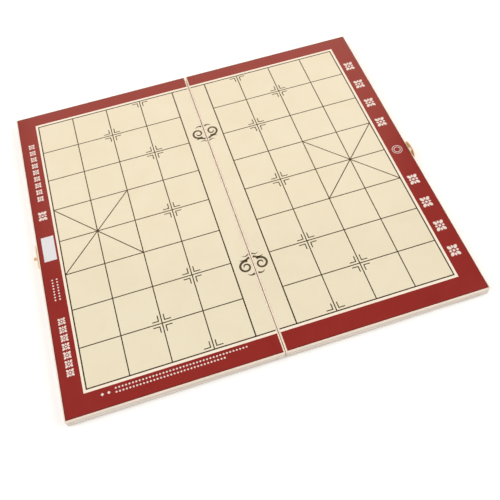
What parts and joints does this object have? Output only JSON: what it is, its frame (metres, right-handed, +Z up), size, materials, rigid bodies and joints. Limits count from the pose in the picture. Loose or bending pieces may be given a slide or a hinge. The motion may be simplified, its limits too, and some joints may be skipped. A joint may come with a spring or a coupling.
{
  "type": "folding board game box",
  "caption": "Folding wooden xiangqi board box: shallow trays hinged along the river, whose outer faces open flat into the playing board, with a brass flap clasp to keep it shut.",
  "frame": {"origin": "middle of the fold on the plane of the rims, which is the table when the board lies open", "axes": "+Z up with the playing face up, +Y along the fold, +X across it towards the tray that carries the clasp's flap"},
  "size_m": [0.3917, 0.35, 0.0149],
  "materials": {
    "panel_board": "satin, pale sealed edge",
    "printed_sheet": "glossy film over print",
    "wall_wood": "plain, lightly sealed",
    "brass": "thin brass plating",
    "brad_steel": "bright",
    "pin_steel": "bright"
  },
  "bodies": {
    "left_tray": {"left_panel": "panel_board", "left_print_sheet": "printed_sheet", "left_outer_wall": "wall_wood", "left_hinge_wall": "wall_wood", "left_near_wall": "wall_wood", "left_far_wall": "wall_wood", "left_corner_brads": "brad_steel", "left_hinge_nails": "brass", "near_hinge_left_leaf": "brass", "far_hinge_left_leaf": "brass", "near_hinge_pin": "pin_steel", "far_hinge_pin": "pin_steel", "clasp_catch": "brass", "clasp_catch_nails": "brass"},
    "right_tray": {"right_panel": "panel_board", "right_print_sheet": "printed_sheet", "right_outer_wall": "wall_wood", "right_hinge_wall": "wall_wood", "right_near_wall": "wall_wood", "right_far_wall": "wall_wood", "right_corner_brads": "brad_steel", "right_hinge_nails": "brass", "near_hinge_right_leaf": "brass", "far_hinge_right_leaf": "brass", "clasp_flap_plate": "brass", "clasp_flap_plate_nails": "brass", "clasp_pin": "pin_steel"},
    "flap": {"clasp_flap": "brass"}
  },
  "joints": [
    {"name": "board_fold", "type": "hinge", "parent": "left_tray", "child": "right_tray", "pos_m": [0, 0, -0.0001], "axis": [0, 1, 0], "range_deg": [-4, 180]},
    {"name": "flap_swing", "type": "hinge", "parent": "right_tray", "child": "flap", "pos_m": [0.1935, -0.0055, 0.0027], "axis": [0, 1, 0], "range_deg": [0, 180]}
  ]
}
